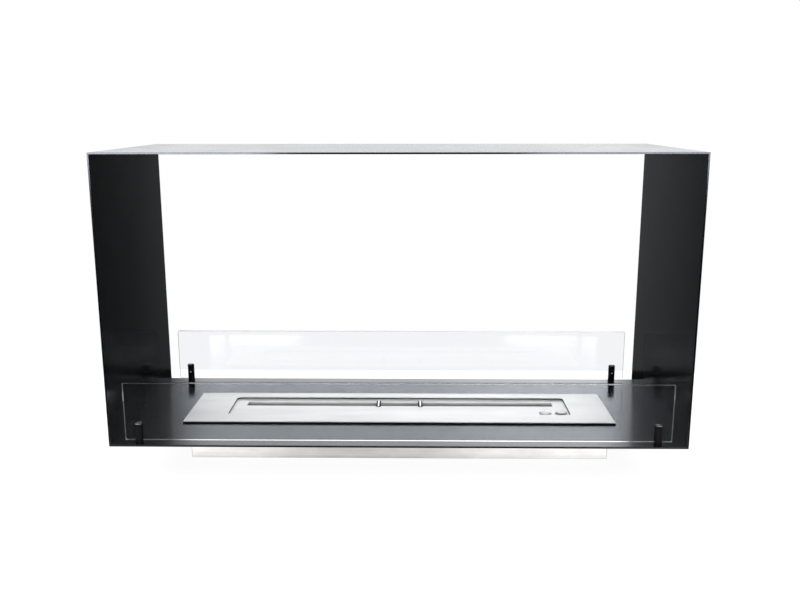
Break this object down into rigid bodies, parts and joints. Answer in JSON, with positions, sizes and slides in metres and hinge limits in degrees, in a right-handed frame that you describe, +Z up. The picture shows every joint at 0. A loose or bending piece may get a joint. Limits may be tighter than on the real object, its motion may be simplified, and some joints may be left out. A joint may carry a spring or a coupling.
{
  "type": "double-sided fireplace",
  "caption": "See-through fireplace insert: black sheet-steel casing open front and rear, low glass screens in slotted posts, drop-in stainless ribbon burner.",
  "frame": {"origin": "middle of the underside of the casing's floor panel", "axes": "+X to the right seen from the front, where the push button is at the right, +Y from the front opening to the rear opening, +Z up"},
  "size_m": [1, 0.388, 0.573],
  "materials": {
    "casing_black": "satin powder coat",
    "post_black": "satin black oxide",
    "screen_glass": "clear with ground edges",
    "brushed_steel": "brushed along the length",
    "housing_steel": "cold rolled, fine brushed",
    "polished_steel": "polished stainless",
    "ceramic_fibre": "matte fibre",
    "igniter_ceramic": "matte",
    "black_plastic": "fine texture",
    "float_plastic": "smooth",
    "black_rubber": "matte"
  },
  "bodies": {
    "casing": {"floor_panel": "casing_black", "left_side_panel": "casing_black", "right_side_panel": "casing_black", "top_panel": "casing_black", "glass_post_front_left": "post_black", "glass_post_front_right": "post_black", "glass_post_rear_left": "post_black", "glass_post_rear_right": "post_black", "post_screw_front_left": "post_black", "post_screw_front_right": "post_black", "post_screw_rear_left": "post_black", "post_screw_rear_right": "post_black"},
    "front_screen": {"front_glass": "screen_glass"},
    "rear_screen": {"rear_glass": "screen_glass"},
    "clamp_front_left": {"clamp_screw_front_left": "polished_steel"},
    "clamp_front_right": {"clamp_screw_front_right": "polished_steel"},
    "clamp_rear_left": {"clamp_screw_rear_left": "polished_steel"},
    "clamp_rear_right": {"clamp_screw_rear_right": "polished_steel"},
    "burner": {"burner_trim_plate": "brushed_steel", "well_frame": "brushed_steel", "burner_well": "brushed_steel", "slot_bridge_left": "polished_steel", "slot_bridge_right": "polished_steel", "housing_channel": "housing_steel", "housing_end_left": "housing_steel", "housing_end_right": "housing_steel", "lid_bracket_left": "housing_steel", "lid_bracket_right": "housing_steel", "lid_screw_left_front": "polished_steel", "lid_screw_left_rear": "polished_steel", "lid_screw_right_front": "polished_steel", "lid_screw_right_rear": "polished_steel", "flame_trough": "housing_steel", "wick_pad": "ceramic_fibre", "fuel_tank": "housing_steel", "tank_roof": "housing_steel", "sensor_holder": "housing_steel", "igniter": "igniter_ceramic", "flame_sensor": "polished_steel", "pump_head": "black_plastic", "pump_motor": "polished_steel", "suction_tube": "polished_steel", "delivery_tube": "polished_steel", "control_unit": "black_plastic", "power_inlet": "black_plastic", "inlet_nut": "housing_steel", "button_nut": "housing_steel", "filler_nut": "housing_steel", "button_body": "polished_steel", "button_spring": "polished_steel", "filler_neck": "brushed_steel", "level_stem": "housing_steel"},
    "button": {"push_button": "polished_steel"},
    "cap": {"filler_cap": "polished_steel", "cap_seal": "black_rubber"},
    "float": {"level_float": "float_plastic"}
  },
  "joints": [
    {"name": "front_screen_lift", "type": "slide", "parent": "casing", "child": "front_screen", "axis": [0, 0, 1], "range_m": [0, 0.12]},
    {"name": "rear_screen_lift", "type": "slide", "parent": "casing", "child": "rear_screen", "axis": [0, 0, 1], "range_m": [0, 0.12]},
    {"name": "clamp_front_left_slide", "type": "slide", "parent": "casing", "child": "clamp_front_left", "axis": [0, 1, 0], "range_m": [0, 0.003]},
    {"name": "clamp_front_right_slide", "type": "slide", "parent": "casing", "child": "clamp_front_right", "axis": [0, 1, 0], "range_m": [0, 0.003]},
    {"name": "clamp_rear_left_slide", "type": "slide", "parent": "casing", "child": "clamp_rear_left", "axis": [0, -1, 0], "range_m": [0, 0.003]},
    {"name": "clamp_rear_right_slide", "type": "slide", "parent": "casing", "child": "clamp_rear_right", "axis": [0, -1, 0], "range_m": [0, 0.003]},
    {"name": "burner_lift", "type": "slide", "parent": "casing", "child": "burner", "axis": [0, 0, 1], "range_m": [0, 0.15]},
    {"name": "button_press", "type": "slide", "parent": "burner", "child": "button", "axis": [0, 0, -1], "range_m": [0, 0.002], "stiffness_N_per_m": 1000, "springref_m": -0.0015, "deforming": ["button_spring"]},
    {"name": "cap_lift", "type": "slide", "parent": "burner", "child": "cap", "axis": [0, 0, 1], "range_m": [0, 0.04]},
    {"name": "float_rise", "type": "slide", "parent": "burner", "child": "float", "axis": [0, 0, 1], "range_m": [0, 0.017]}
  ]
}
